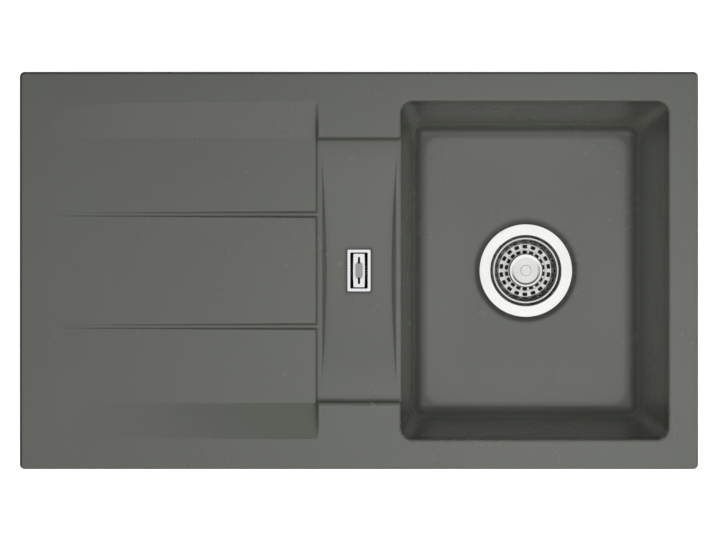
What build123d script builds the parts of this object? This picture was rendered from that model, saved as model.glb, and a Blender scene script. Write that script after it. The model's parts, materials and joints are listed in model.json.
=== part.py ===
"""Inset kitchen sink with drainer, basket waste, overflow and worktop clamps, in millimetres.

The origin is the centre of the worktop plane that the rim seal rests on. X runs from the
drainer to the bowl, Y runs from front to back and Z points up.
"""

from build123d import *

import os
from math import atan, cos, degrees, radians, sqrt, tan

os.makedirs("parts", exist_ok=True)

# Overall moulding
sink_width = 780.0
sink_depth = 457.0
sink_corner_radius = 6.0
rim_margin = 34.0
rim_thickness = 8.0
rim_edge_radius = 2.5
wall = 9.0
strip_width = 96.0

# Rim seal and worktop
seal_thickness = 2.0
seal_width = 7.0
seal_setback = 1.5
seal_inner_radius = 3.0
rim_overlap = 10.0
worktop_thickness = 38.0

# Drainer
drainer_fall = 9.0
flank_width = 42.0
ramp_length = 4.0
belly_chamfer = 7.0
groove_spacing = 129.0
groove_floor_width = 3.6
groove_side_angle = 38.0
groove_start = 3.0

# Trough between the two basins
trough_depth = 12.0
trough_wall_inset = 1.0
step_radius = 4.0
step_side_angle = 40.0
deck_thickness = 14.0
deck_margin = 0.9
dish_depth = 6.0
dish_length = 280.0
dish_ease_radius = 414.0
dish_ease_lift = 0.06
dish_side_angle = 40.0
dish_ledge = 5.2
tap_hole_radius = 17.5
tap_skin = 5.0
tap_setback = 48.0

# Bowl
bowl_depth = 190.0
bowl_draft = 5.8
bowl_corner_radius = 14.0
bowl_floor_radius = 13.0
bowl_edge_radius = 3.0
floor_thickness = 10.0
floor_fall = 1.0
floor_fall_radius = 112.0

# Basket waste
drain_hole_radius = 45.0
flange_radius = 57.0
flange_margin = 1.2
flange_recess = 2.6
flange_bevel_width = 4.0
flange_bevel_depth = 1.3
flange_gasket_thickness = 1.2
sheet = 1.0
throat_radius = 42.0
throat_lip_radius = 1.6
throat_depth = 23.0
seat_height = 8.0
well_radius = 33.0
well_depth = 9.0
well_hole_radius = 5.5
well_hole_count = 8

# Waste body under the bowl
body_gasket_thickness = 3.0
cup_clearance = 2.5
cup_wall = 3.5
cup_depth = 48.0
cup_cone = 18.0
cup_flange_width = 5.0
cup_flange_thickness = 4.0
outlet_radius = 23.9
outlet_wall = 3.6
outlet_length = 38.0
boss_radius = 9.5
boss_height = 24.0
rib_thickness = 4.0
rib_drop = 8.0
rib_height = 12.0
rib_count = 3
screw_radius = 3.9
screw_length = 20.0
screw_head_radius = 8.0
screw_head_height = 5.5
insert_wall = 2.0

# Strainer basket
basket_clearance = 2.4
basket_sheet = 0.8
basket_drop = 1.0
basket_lip = 1.8
basket_depth = 23.6
basket_floor_radius = 25.2
basket_step_radius = 32.0
basket_step_height = 3.0
slot_count = 18
slot_width = 5.8
slot_margin = 0.9
slot_corner_radius = 1.15
wall_slot_width = 3.2
wall_slot_length = 9.0
floor_slot_width = 5.4
plug_drop = 2.0
plug_hub_radius = 11.0
plug_thickness = 3.0
plug_gap = 0.3
retainer_radius = 14.0
retainer_thickness = 1.6
retainer_chamfer = 0.8
stem_radius = 4.0
stem_tip_radius = 2.9
stem_tip_length = 5.2
stem_tip_chamfer = 1.0
socket_clearance = 0.3
socket_depth = 4.2
knob_radius = 20.6
knob_proud = 2.0
knob_dish_radius = 16.4
knob_dish_depth = 0.6
knob_boss_radius = 6.5
knob_skirt = 4.0
knob_sheet = 1.2

# Overflow inlet
overflow_opening_x = 20.0
overflow_opening_y = 41.5
bezel_width = 4.0
bezel_thickness = 2.0
bezel_chamfer = 0.7
bezel_recess = 1.2
bezel_skirt_wall = 1.0
bezel_skirt_depth = 10.0
bezel_corner_radius = 2.0
fit_gap = 0.3
plate_width = 12.8
plate_length = 38.8
plate_thickness = 1.5
plate_bulge = 0.4
plate_leg_width = 4.7
plate_slot_width = 2.4
plate_slot_length = 7.7
plate_slot_spacing = 23.6
pad_width = 11.0
pad_length = 15.0
pad_thickness = 3.0
arm_width = 5.0
overflow_screw_radius = 2.4
overflow_screw_head_radius = 4.4
overflow_screw_head_height = 2.4
overflow_screw_chamfer = 0.8
overflow_screw_length = 20.0
overflow_gasket_thickness = 2.0
housing_flange_width = 6.0
housing_flange_thickness = 3.0
housing_wall = 2.4
housing_box_depth = 6.0
housing_funnel_depth = 26.0
housing_web = 10.0

# Overflow pipe and its compression joints
pipe_radius = 12.5
pipe_wall = 1.5
pipe_bend_radius = 45.0
spigot_radius = 16.5
spigot_length = 24.0
spigot_reach = 24.0
spigot_socket = 13.0
pipe_clearance = 0.3
washer_length = 4.0
nut_radius = 20.5
nut_clearance = 0.2
nut_end_wall = 3.0
nut_grip = 14.0
nut_sides = 12
inlet_drop = 32.0

# Worktop clamps
clamp_boss_radius = 8.0
clamp_boss_height = 10.0
clamp_boss_setback = 1.0
clamp_x = 210.0
clamp_skin = 4.0
insert_radius = 4.0
clamp_screw_radius = 2.4
clamp_screw_clearance = 0.1
clamp_screw_engagement = 10.0
clamp_head_radius = 5.0
clamp_head_height = 3.6
clamp_head_chamfer = 0.9
clamp_slot_width = 1.0
clamp_slot_depth = 1.2
claw_thickness = 2.0
claw_width = 14.0
claw_reach = 17.0
claw_lift = 10.0
claw_clearance = 0.3
claw_notch = 2.0
claw_notch_spacing = 4.7

# Allowances of the construction: how far a cutter runs past a face, how far the recess starts
# beyond the basin and above the rim, how near counts as touching and how nearly in line with
# an axis, in degrees, counts as along it
overshoot = 6.0
recess_lead = 30.0
flank_rise = 0.15
touch = 0.05
axis_angle = 25.0

# Levels and places that follow from the sizes
rim_bottom = seal_thickness
rim_top = rim_bottom + rim_thickness
mid_rim = rim_bottom + rim_thickness / 2
basin_x = sink_width / 2 - rim_margin
basin_y = sink_depth / 2 - rim_margin
strip_half = strip_width / 2
ledge_z = rim_top - trough_depth
deck_z = rim_top - deck_thickness
dish_z = ledge_z - dish_depth
trough_under_z = dish_z - wall
ramp_end = -strip_half + ramp_length / 2
ramp_start = ramp_end - ramp_length
panel_edge = ramp_start - fit_gap
panel_half = basin_y - flank_width
trough_half = panel_half - trough_wall_inset
deck_half = basin_y + wall + deck_margin
drainer_slope = drainer_fall / (basin_x + ramp_start)
floor_z = rim_top - bowl_depth
under_z = floor_z - floor_thickness
bowl_x = (strip_half + basin_x) / 2
bowl_width = basin_x - strip_half
bowl_length = 2 * basin_y
draft_rate = tan(radians(bowl_draft))
step_fillet = min(step_radius, 0.45 * trough_depth)
floor_fillet = min(bowl_floor_radius, 0.95 * bowl_corner_radius)
cut_x = sink_width / 2 - rim_overlap
cut_y = sink_depth / 2 - rim_overlap


def panel_z(x):
    """Height of the drainer panel at a place along the sink."""
    return rim_top - drainer_slope * (x + basin_x)


def on_bowl_mouth(edge):
    """Say whether an edge runs round the mouth of the bowl, where its walls meet what lies above."""
    if edge.bounding_box().min.Z < ledge_z - fit_gap:
        return False
    corner_cut = bowl_corner_radius * (1 - sqrt(0.5)) + touch
    for share in (0, 0.5, 1):
        point = edge.position_at(share)
        inset = (rim_top - point.Z) * draft_rate
        across = abs(point.X - bowl_x) - (bowl_width / 2 - inset)
        along = abs(point.Y) - (bowl_length / 2 - inset)
        if not -corner_cut < max(across, along) < touch:
            return False
    return True


def is_upright(edge):
    """Say whether an edge runs mostly along Z, as the drafted corners of the bowl do."""
    return abs(edge.tangent_at(0.5).Z) > cos(radians(axis_angle))


def runs_lengthwise(edge):
    """Say whether an edge runs mostly along X, from the drainer to the bowl."""
    return abs(edge.tangent_at(0.5).X) > cos(radians(axis_angle))


def on_deck_edge(edge):
    """Say whether an edge is the brink of a tap deck, where it drops into the trough."""
    middle = edge.center()
    at_rim = abs(middle.Z - rim_top) < touch
    at_wall = abs(abs(middle.Y) - trough_half) < touch
    return at_rim and at_wall and runs_lengthwise(edge)


# Drainer recess: a sloping panel between two flanks that twist from flat to steep
recess_left = -basin_x - recess_lead
with BuildPart() as recess:
    for x, inner_z in (
        (recess_left, panel_z(recess_left)),
        (ramp_start, panel_z(ramp_start)),
        (ramp_end, rim_top + 2 * flank_rise),
    ):
        with BuildSketch(Plane.YZ.offset(x)):
            with BuildLine():
                Polyline(
                    (-basin_y, rim_top + flank_rise),
                    (-panel_half, inner_z),
                    (panel_half, inner_z),
                    (basin_y, rim_top + flank_rise),
                    (basin_y, rim_top + overshoot),
                    (-basin_y, rim_top + overshoot),
                    close=True,
                )
            make_face()
    loft(ruled=True)

# Trough between the basins, with rounded feet along its two end walls and a sloping step down
# from the drainer
step_flare = tan(radians(step_side_angle))
step_foot = panel_edge + (panel_z(panel_edge) - ledge_z) * step_flare
trough_height = trough_depth + overshoot
trough_start = panel_edge - trough_height * step_flare
step_plane = Plane(
    origin=(step_foot, 0, ledge_z),
    x_dir=(0, 1, 0),
    z_dir=(1, 0, step_flare),
)
with BuildPart() as trough:
    with BuildSketch(Plane.YZ.offset(trough_start)) as trough_profile:
        with Locations((0, ledge_z)):
            Rectangle(2 * trough_half, trough_height, align=(Align.CENTER, Align.MIN))
        fillet(trough_profile.vertices().group_by(Axis.Y)[0], step_fillet)
    extrude(amount=strip_half + bowl_corner_radius + overshoot - trough_start)
    split(bisect_by=step_plane, keep=Keep.TOP)

# Bowl cavity and the shell around it, both with drafted walls
mouth_plane = Plane.XY.offset(rim_top)
with BuildPart() as cavity:
    with Locations((bowl_x, 0, floor_z)):
        Box(
            bowl_width,
            bowl_length,
            bowl_depth + overshoot,
            align=(Align.CENTER, Align.CENTER, Align.MIN),
        )
    draft(cavity.faces().filter_by(Axis.Z, reverse=True), mouth_plane, -bowl_draft)
    fillet(cavity.edges().filter_by(is_upright), bowl_corner_radius)
    fillet(cavity.faces().sort_by(Axis.Z)[0].edges(), floor_fillet)

with BuildPart() as shell:
    with Locations((bowl_x, 0, under_z)):
        Box(
            bowl_width + 2 * wall,
            bowl_length + 2 * wall,
            mid_rim - under_z,
            align=(Align.CENTER, Align.CENTER, Align.MIN),
        )
    draft(shell.faces().filter_by(Axis.Z, reverse=True), mouth_plane, -bowl_draft)
    fillet(shell.edges().filter_by(is_upright), bowl_corner_radius + wall)
    fillet(shell.faces().sort_by(Axis.Z)[0].edges(), floor_fillet + wall)

# Shallow dish along the trough floor, with sloping sides and ends that ease into the ledge
dish_left = step_foot + dish_ledge
dish_right = strip_half - dish_ledge
dish_half = dish_length / 2
dish_drop = dish_depth + dish_ease_lift
dish_top = ledge_z + dish_ease_lift
ease_share = 1 - dish_ease_radius * 2 * dish_drop / (dish_half**2 + dish_drop**2)
ease_y = dish_half * ease_share
ease_z = dish_z + dish_drop * ease_share
dish_flare = tan(radians(dish_side_angle))
dish_reach = trough_half - step_fillet
with BuildPart() as dish:
    with BuildSketch(Plane.XZ.offset(-dish_reach)):
        with BuildLine():
            Polyline(
                (dish_left - overshoot * dish_flare, ledge_z + overshoot),
                (dish_right + overshoot * dish_flare, ledge_z + overshoot),
                (dish_right - dish_depth * dish_flare, dish_z),
                (dish_left + dish_depth * dish_flare, dish_z),
                close=True,
            )
        make_face()
    extrude(amount=2 * dish_reach)
    with BuildSketch(Plane.YZ.offset(-strip_width)):
        with BuildLine():
            bed = ThreePointArc((-ease_y, ease_z), (0, dish_z), (ease_y, ease_z))
            TangentArc(bed @ 0, (-dish_half, dish_top), tangent=(bed % 0) * -1)
            TangentArc(bed @ 1, (dish_half, dish_top), tangent=bed % 1)
            Polyline(
                (-dish_half, dish_top),
                (-dish_half, ledge_z + overshoot),
                (dish_half, ledge_z + overshoot),
                (dish_half, dish_top),
            )
        make_face()
    extrude(amount=2 * strip_width, mode=Mode.INTERSECT)

# Two flat-bottomed grooves that deepen towards the trough
groove_left = -basin_x + groove_start
groove_run = panel_edge - groove_left
groove_reach = dish_left + overshoot - groove_left
groove_drop = panel_z(groove_left) - ledge_z
groove_tilt = degrees(atan(groove_drop / groove_run))
groove_height = trough_depth + overshoot
groove_top = groove_floor_width / 2 + groove_height * tan(radians(groove_side_angle))
with BuildPart() as grooves:
    for side in (-1, 1):
        start = Plane(
            origin=(groove_left, side * groove_spacing / 2, panel_z(groove_left)),
            x_dir=(0, 1, 0),
            z_dir=(cos(radians(groove_tilt)), 0, -groove_drop / groove_run * cos(radians(groove_tilt))),
        )
        with BuildSketch(start):
            with BuildLine():
                Polyline(
                    (-groove_floor_width / 2, 0),
                    (groove_floor_width / 2, 0),
                    (groove_top, groove_height),
                    (-groove_top, groove_height),
                    close=True,
                )
            make_face()
        extrude(amount=groove_reach / cos(radians(groove_tilt)))

# Clamp stations: place on the rim and the way that the claw points, as a turn about Z
clamp_inset = clamp_boss_radius + clamp_boss_setback
clamp_back = cut_y - clamp_inset
clamp_side = cut_x - clamp_inset
clamps = {
    "back_left": (-clamp_x, clamp_back, 90),
    "back_right": (clamp_x, clamp_back, 90),
    "front_left": (-clamp_x, -clamp_back, -90),
    "front_right": (clamp_x, -clamp_back, -90),
    "drainer_end": (-clamp_side, 0, 180),
    "bowl_end": (clamp_side, 0, 0),
}
clamp_places = [(x, y) for x, y, turn in clamps.values()]
boss_z = rim_bottom - clamp_boss_height
socket_top = rim_top - clamp_skin

# Waste levels
recess_z = floor_z - flange_recess
flange_z = recess_z + flange_gasket_thickness
flange_top = flange_z + sheet
seat_top = flange_top - throat_depth
seat_bottom = seat_top - seat_height
well_z = seat_bottom - well_depth
cup_top = under_z - body_gasket_thickness
cup_bottom = cup_top - cup_depth
cone_bottom = cup_bottom - cup_cone
outlet_end = cone_bottom - outlet_length
boss_top = well_z - sheet
cup_radius = throat_radius + sheet + cup_clearance
inlet_z = under_z - inlet_drop
drain_axis = Axis((bowl_x, 0, 0), (0, 0, 1))
drain_section = Plane(origin=(bowl_x, 0, 0), x_dir=(1, 0, 0), z_dir=(0, -1, 0))
recess_radius = flange_radius + flange_margin

# Overflow levels and openings
bezel_seat = dish_z - bezel_recess
hole_x = overflow_opening_x + 2 * bezel_skirt_wall + 2 * fit_gap
hole_y = overflow_opening_y + 2 * bezel_skirt_wall + 2 * fit_gap
bezel_x = overflow_opening_x + 2 * bezel_width
bezel_y = overflow_opening_y + 2 * bezel_width

# The moulded sink
with BuildPart() as sink_body:
    with BuildSketch(Plane.XY.offset(rim_bottom)):
        RectangleRounded(sink_width, sink_depth, sink_corner_radius)
    extrude(amount=rim_thickness)
    fillet(sink_body.faces().sort_by(Axis.Z)[-1].edges(), rim_edge_radius)
    # Belly under the sloping drainer
    with BuildSketch(Plane.XZ.offset(-basin_y)):
        with BuildLine():
            Polyline(
                (-basin_x, mid_rim),
                (-basin_x, panel_z(-basin_x) - wall),
                (panel_edge, panel_z(panel_edge) - wall),
                (panel_edge, mid_rim),
                close=True,
            )
        make_face()
    extrude(amount=2 * basin_y)
    belly_face = sink_body.faces().filter_by(Axis.Z, reverse=True).sort_by(Axis.Z)[0]
    chamfer(belly_face.edges().filter_by(runs_lengthwise), belly_chamfer)
    # Belly under the trough and the two tap decks beside it
    belly_left = panel_edge - wall
    belly_length = strip_half + wall - belly_left
    with Locations((belly_left, 0, trough_under_z)):
        Box(
            belly_length,
            2 * (trough_half + wall),
            mid_rim - trough_under_z,
            align=(Align.MIN, Align.CENTER, Align.MIN),
        )
    with Locations((belly_left, 0, deck_z)):
        Box(
            belly_length,
            2 * deck_half,
            mid_rim - deck_z,
            align=(Align.MIN, Align.CENTER, Align.MIN),
        )
    add(shell.part)
    # Bosses that take the clamp screws
    with BuildSketch(Plane.XY.offset(boss_z)):
        with Locations(*clamp_places):
            Circle(clamp_boss_radius)
    extrude(amount=mid_rim - boss_z)
    # Basins
    add(recess.part, mode=Mode.SUBTRACT)
    add(trough.part, mode=Mode.SUBTRACT)
    fillet(sink_body.edges().filter_by(on_deck_edge), step_fillet)
    add(cavity.part, mode=Mode.SUBTRACT)
    fillet(sink_body.edges().filter_by(on_bowl_mouth), bowl_edge_radius)
    add(dish.part, mode=Mode.SUBTRACT)
    add(grooves.part, mode=Mode.SUBTRACT)
    # Fall of the bowl floor, seat of the waste flange and the drain hole
    with BuildSketch(drain_section):
        with BuildLine():
            Polyline(
                (0, floor_z),
                (floor_fall_radius, floor_z),
                (recess_radius + flange_bevel_width, floor_z - floor_fall),
                (recess_radius, floor_z - floor_fall - flange_bevel_depth),
                (recess_radius, recess_z),
                (drain_hole_radius, recess_z),
                (drain_hole_radius, under_z - overshoot),
                (0, under_z - overshoot),
                close=True,
            )
        make_face()
    revolve(axis=drain_axis, mode=Mode.SUBTRACT)
    # Overflow hole with a shallow seat for the bezel
    with BuildSketch(Plane.XY.offset(bezel_seat)):
        RectangleRounded(bezel_x + 2 * fit_gap, bezel_y + 2 * fit_gap, bezel_corner_radius + fit_gap)
    extrude(amount=bezel_recess + dish_depth, mode=Mode.SUBTRACT)
    with BuildSketch(Plane.XY.offset(trough_under_z)):
        RectangleRounded(hole_x, hole_y, bezel_corner_radius)
    extrude(amount=dish_z - trough_under_z, mode=Mode.SUBTRACT)
    # Knock-outs for a tap, blind from beneath, in both decks
    tap_y = sink_depth / 2 - tap_setback
    with BuildSketch(Plane.XY.offset(deck_z)):
        with Locations((0, tap_y), (0, -tap_y)):
            Circle(tap_hole_radius)
    extrude(amount=deck_thickness - tap_skin, mode=Mode.SUBTRACT)
    # Sockets for the clamp inserts
    with BuildSketch(Plane.XY.offset(boss_z)):
        with Locations(*clamp_places):
            Circle(insert_radius + clamp_screw_clearance)
    extrude(amount=socket_top - boss_z, mode=Mode.SUBTRACT)
sink_body.part.label = "sink_body"
export_step(sink_body.part, "parts/sink_body.step")

# Seal strip between the rim and the worktop
with BuildPart() as rim_seal:
    with BuildSketch():
        RectangleRounded(
            sink_width - 2 * seal_setback,
            sink_depth - 2 * seal_setback,
            sink_corner_radius - seal_setback,
        )
        RectangleRounded(
            sink_width - 2 * (seal_setback + seal_width),
            sink_depth - 2 * (seal_setback + seal_width),
            seal_inner_radius,
            mode=Mode.SUBTRACT,
        )
    extrude(amount=seal_thickness)
rim_seal.part.label = "rim_seal"
export_step(rim_seal.part, "parts/rim_seal.step")

# Pressed steel flange, throat, plug seat and drilled well of the waste
with BuildPart() as waste_flange:
    with BuildSketch(drain_section):
        with BuildLine():
            FilletPolyline(
                (flange_radius, flange_z),
                (flange_radius - sheet, flange_top),
                (throat_radius, flange_top),
                (throat_radius, seat_top),
                (well_radius, seat_bottom),
                (well_radius, well_z),
                (screw_radius + fit_gap, well_z),
                radius=[sheet / 2, throat_lip_radius, sheet / 2, sheet / 2, sheet / 2],
            )
            seat_back = sheet * (seat_top - seat_bottom) / (throat_radius - well_radius) / 2
            Polyline(
                (screw_radius + fit_gap, well_z),
                (screw_radius + fit_gap, well_z - sheet),
                (well_radius + sheet, well_z - sheet),
                (well_radius + sheet, seat_bottom - seat_back),
                (throat_radius + sheet, seat_top - seat_back),
                (throat_radius + sheet, flange_z - throat_lip_radius),
                (throat_radius + throat_lip_radius, flange_z),
                (flange_radius, flange_z),
            )
        make_face()
    revolve(axis=drain_axis)
    with BuildSketch(Plane.XY.offset(well_z - sheet)):
        with Locations((bowl_x, 0)):
            with PolarLocations((well_radius + screw_head_radius) / 2, well_hole_count):
                Circle(well_hole_radius)
    extrude(amount=2 * sheet, mode=Mode.SUBTRACT)
waste_flange.part.label = "waste_flange"
export_step(waste_flange.part, "parts/waste_flange.step")

with BuildPart() as flange_gasket:
    with BuildSketch(Plane.XY.offset(recess_z)):
        with Locations((bowl_x, 0)):
            Circle(flange_radius - sheet)
            Circle(drain_hole_radius + flange_margin, mode=Mode.SUBTRACT)
    extrude(amount=flange_gasket_thickness)
flange_gasket.part.label = "flange_gasket"
export_step(flange_gasket.part, "parts/flange_gasket.step")

with BuildPart() as body_gasket:
    with BuildSketch(Plane.XY.offset(cup_top)):
        with Locations((bowl_x, 0)):
            Circle(cup_radius + cup_wall + cup_flange_width - fit_gap)
            Circle(cup_radius, mode=Mode.SUBTRACT)
    extrude(amount=body_gasket_thickness)
body_gasket.part.label = "body_gasket"
export_step(body_gasket.part, "parts/body_gasket.step")

# Moulded waste body: cup, threaded tail, screw boss on ribs and overflow inlet
outlet_bore = outlet_radius - outlet_wall
pipe_bore = pipe_radius - pipe_wall
spigot_end = bowl_x - cup_radius - cup_wall - spigot_length
inlet_plane = Plane(origin=(spigot_end, 0, inlet_z), x_dir=(0, 1, 0), z_dir=(1, 0, 0))
insert_outer = screw_radius + fit_gap + insert_wall
with BuildPart() as waste_body:
    with BuildSketch(drain_section):
        with BuildLine():
            Polyline(
                (cup_radius, cup_top),
                (cup_radius, cup_bottom),
                (outlet_bore, cone_bottom),
                (outlet_bore, outlet_end),
                (outlet_radius, outlet_end),
                (outlet_radius, cone_bottom - cup_wall),
                (cup_radius + cup_wall, cup_bottom - cup_wall / 2),
                (cup_radius + cup_wall, cup_top - cup_flange_thickness),
                (cup_radius + cup_wall + cup_flange_width, cup_top - cup_flange_thickness),
                (cup_radius + cup_wall + cup_flange_width, cup_top),
                close=True,
            )
        make_face()
    revolve(axis=drain_axis)
    with BuildSketch(inlet_plane):
        Circle(spigot_radius)
    extrude(amount=spigot_length + cup_wall)
    with BuildSketch(inlet_plane):
        Circle(pipe_bore)
    extrude(amount=spigot_length + cup_wall + cup_clearance, mode=Mode.SUBTRACT)
    with BuildSketch(inlet_plane):
        Circle(pipe_radius + pipe_clearance)
    extrude(amount=spigot_socket, mode=Mode.SUBTRACT)
    with BuildSketch(Plane.XY.offset(cup_top)):
        with Locations((bowl_x, 0)):
            Circle(cup_radius)
    extrude(amount=-cup_depth, mode=Mode.SUBTRACT)
    with BuildSketch(Plane.XY.offset(boss_top)):
        with Locations((bowl_x, 0)):
            Circle(boss_radius)
    extrude(amount=-boss_height)
    with BuildSketch(Plane.XY.offset(boss_top - rib_drop)):
        with Locations((bowl_x, 0)):
            with PolarLocations((boss_radius + cup_radius) / 2, rib_count):
                Rectangle(cup_radius - boss_radius + cup_wall, rib_thickness)
    extrude(amount=-rib_height)
    with BuildSketch(Plane.XY.offset(boss_top)):
        with Locations((bowl_x, 0)):
            Circle(insert_outer)
    extrude(amount=-screw_length, mode=Mode.SUBTRACT)
waste_body.part.label = "waste_body"
export_step(waste_body.part, "parts/waste_body.step")

with BuildPart() as waste_insert:
    with BuildSketch(Plane.XY.offset(boss_top)):
        with Locations((bowl_x, 0)):
            Circle(insert_outer - clamp_screw_clearance)
            Circle(screw_radius + clamp_screw_clearance, mode=Mode.SUBTRACT)
    extrude(amount=-screw_length)
waste_insert.part.label = "waste_insert"
export_step(waste_insert.part, "parts/waste_insert.step")

# Screw that clamps flange and body together, with a socket for the basket stem
with BuildPart() as waste_screw:
    with BuildSketch(Plane.XY.offset(well_z)):
        with Locations((bowl_x, 0)):
            Circle(screw_head_radius)
    extrude(amount=screw_head_height)
    fillet(waste_screw.edges().group_by(Axis.Z)[-1], sheet)
    with BuildSketch(Plane.XY.offset(well_z)):
        with Locations((bowl_x, 0)):
            Circle(screw_radius)
    extrude(amount=-screw_length)
    with BuildSketch(Plane.XY.offset(well_z + screw_head_height)):
        with Locations((bowl_x, 0)):
            Circle(stem_tip_radius + socket_clearance)
    extrude(amount=-socket_depth, mode=Mode.SUBTRACT)
waste_screw.part.label = "waste_screw"
export_step(waste_screw.part, "parts/waste_screw.step")

# Strainer basket with three rings of openings: in its wall, in the raised step round its floor
# and in the floor itself
basket_top = flange_top - basket_drop
basket_floor = basket_top - basket_depth
basket_step = basket_floor + basket_step_height
basket_radius = throat_radius - basket_clearance
wall_top_radius = basket_radius - basket_lip
wall_height = basket_top - basket_step
wall_lean = atan((wall_top_radius - basket_step_radius) / wall_height)
wall_middle = (basket_top + basket_step) / 2
wall_reach = (wall_top_radius + basket_step_radius) / 2
step_slot_inner = basket_floor_radius + basket_sheet + slot_margin
step_slot_outer = basket_step_radius - slot_margin
floor_slot_inner = knob_radius
floor_slot_outer = basket_floor_radius - slot_margin
with BuildPart() as basket:
    with BuildSketch(drain_section):
        with BuildLine():
            Polyline(
                (stem_radius + clamp_screw_clearance, basket_floor),
                (basket_floor_radius, basket_floor),
                (basket_floor_radius, basket_step),
                (basket_step_radius, basket_step),
                (wall_top_radius, basket_top),
                (basket_radius, basket_top),
                (basket_radius, basket_top - 2 * basket_sheet),
                (basket_radius - basket_sheet, basket_top - 2 * basket_sheet),
                (basket_radius - basket_sheet, basket_top - basket_sheet),
                (wall_top_radius + basket_sheet / 2, basket_top - basket_sheet),
                (basket_step_radius + basket_sheet, basket_step - basket_sheet),
                (basket_floor_radius + basket_sheet, basket_step - basket_sheet),
                (basket_floor_radius + basket_sheet, basket_floor - basket_sheet),
                (stem_radius + clamp_screw_clearance, basket_floor - basket_sheet),
                close=True,
            )
        make_face()
    revolve(axis=drain_axis)
    slot_planes = []
    for count in range(slot_count):
        turned = Plane(origin=(bowl_x, 0, wall_middle)).rotated((0, 0, 360 / slot_count * count))
        outward = turned.x_dir
        slot_planes.append(
            Plane(
                origin=turned.origin + outward * wall_reach,
                x_dir=turned.y_dir,
                z_dir=outward - Vector(0, 0, tan(wall_lean)),
            )
        )
    with BuildSketch(*slot_planes):
        RectangleRounded(wall_slot_width, wall_slot_length, slot_corner_radius)
    extrude(amount=4 * basket_sheet, both=True, mode=Mode.SUBTRACT)
    for level, inner, outer, width in (
        (basket_step, step_slot_inner, step_slot_outer, slot_width),
        (basket_floor, floor_slot_inner, floor_slot_outer, floor_slot_width),
    ):
        with BuildSketch(Plane.XY.offset(level)):
            with Locations((bowl_x, 0)):
                with PolarLocations((inner + outer) / 2, slot_count, start_angle=180 / slot_count):
                    RectangleRounded(outer - inner, width, slot_corner_radius)
        extrude(amount=-2 * basket_sheet, mode=Mode.SUBTRACT)
basket.part.label = "basket"
export_step(basket.part, "parts/basket.step")

# Rubber plug on a hub under the basket, shaped to the conical seat
hub_top = basket_floor - basket_sheet
plug_top = hub_top - plug_drop
plug_bottom = plug_top - plug_thickness
seat_rate = (throat_radius - well_radius) / seat_height
seat_gap = plug_gap / cos(atan(seat_rate))
retainer_bottom = plug_bottom - retainer_thickness
with BuildPart() as basket_plug:
    with BuildSketch(drain_section):
        with BuildLine():
            Polyline(
                (stem_radius + clamp_screw_clearance, hub_top),
                (plug_hub_radius, hub_top),
                (plug_hub_radius, plug_top),
                (throat_radius - (seat_top - plug_top) * seat_rate - seat_gap * seat_rate, plug_top),
                (throat_radius - (seat_top - plug_bottom) * seat_rate - seat_gap * seat_rate, plug_bottom),
                (stem_radius + clamp_screw_clearance, plug_bottom),
                close=True,
            )
        make_face()
    revolve(axis=drain_axis)
basket_plug.part.label = "basket_plug"
export_step(basket_plug.part, "parts/basket_plug.step")

with BuildPart() as plug_retainer:
    with BuildSketch(Plane.XY.offset(plug_bottom)):
        with Locations((bowl_x, 0)):
            Circle(retainer_radius)
            Circle(stem_radius + clamp_screw_clearance, mode=Mode.SUBTRACT)
    extrude(amount=-retainer_thickness)
    chamfer(plug_retainer.edges().group_by(Axis.Z)[0].sort_by(SortBy.LENGTH)[-1], retainer_chamfer)
plug_retainer.part.label = "plug_retainer"
export_step(plug_retainer.part, "parts/plug_retainer.step")

# Dished pull knob and the stem that carries it
knob_top = flange_top + knob_proud
knob_under = knob_top - knob_dish_depth - knob_sheet
with BuildPart() as basket_knob:
    with BuildSketch(drain_section):
        with BuildLine():
            Polyline(
                (0, knob_top),
                (knob_boss_radius - knob_dish_depth / 2, knob_top),
                (knob_boss_radius, knob_top - knob_dish_depth / 2),
                (knob_boss_radius, knob_top - knob_dish_depth),
                (knob_dish_radius - knob_sheet, knob_top - knob_dish_depth),
                (knob_dish_radius, knob_top - knob_dish_depth / 2),
                (knob_dish_radius + knob_sheet, knob_top),
                (knob_radius - knob_sheet, knob_top),
                (knob_radius, knob_top - knob_sheet),
                (knob_radius, knob_top - knob_skirt),
                (knob_radius - knob_sheet, knob_top - knob_skirt),
                (knob_radius - knob_sheet, knob_under + knob_sheet / 2),
                (knob_dish_radius, knob_under),
                (0, knob_under),
                close=True,
            )
        make_face()
    revolve(axis=drain_axis)
basket_knob.part.label = "basket_knob"
export_step(basket_knob.part, "parts/basket_knob.step")

with BuildPart() as basket_stem:
    with BuildSketch(Plane.XY.offset(retainer_bottom)):
        with Locations((bowl_x, 0)):
            Circle(stem_radius)
    extrude(amount=knob_under - retainer_bottom)
    with BuildSketch(Plane.XY.offset(retainer_bottom)):
        with Locations((bowl_x, 0)):
            Circle(stem_tip_radius)
    extrude(amount=-stem_tip_length)
    chamfer(basket_stem.edges().group_by(Axis.Z)[0], stem_tip_chamfer)
basket_stem.part.label = "basket_stem"
export_step(basket_stem.part, "parts/basket_stem.step")

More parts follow.
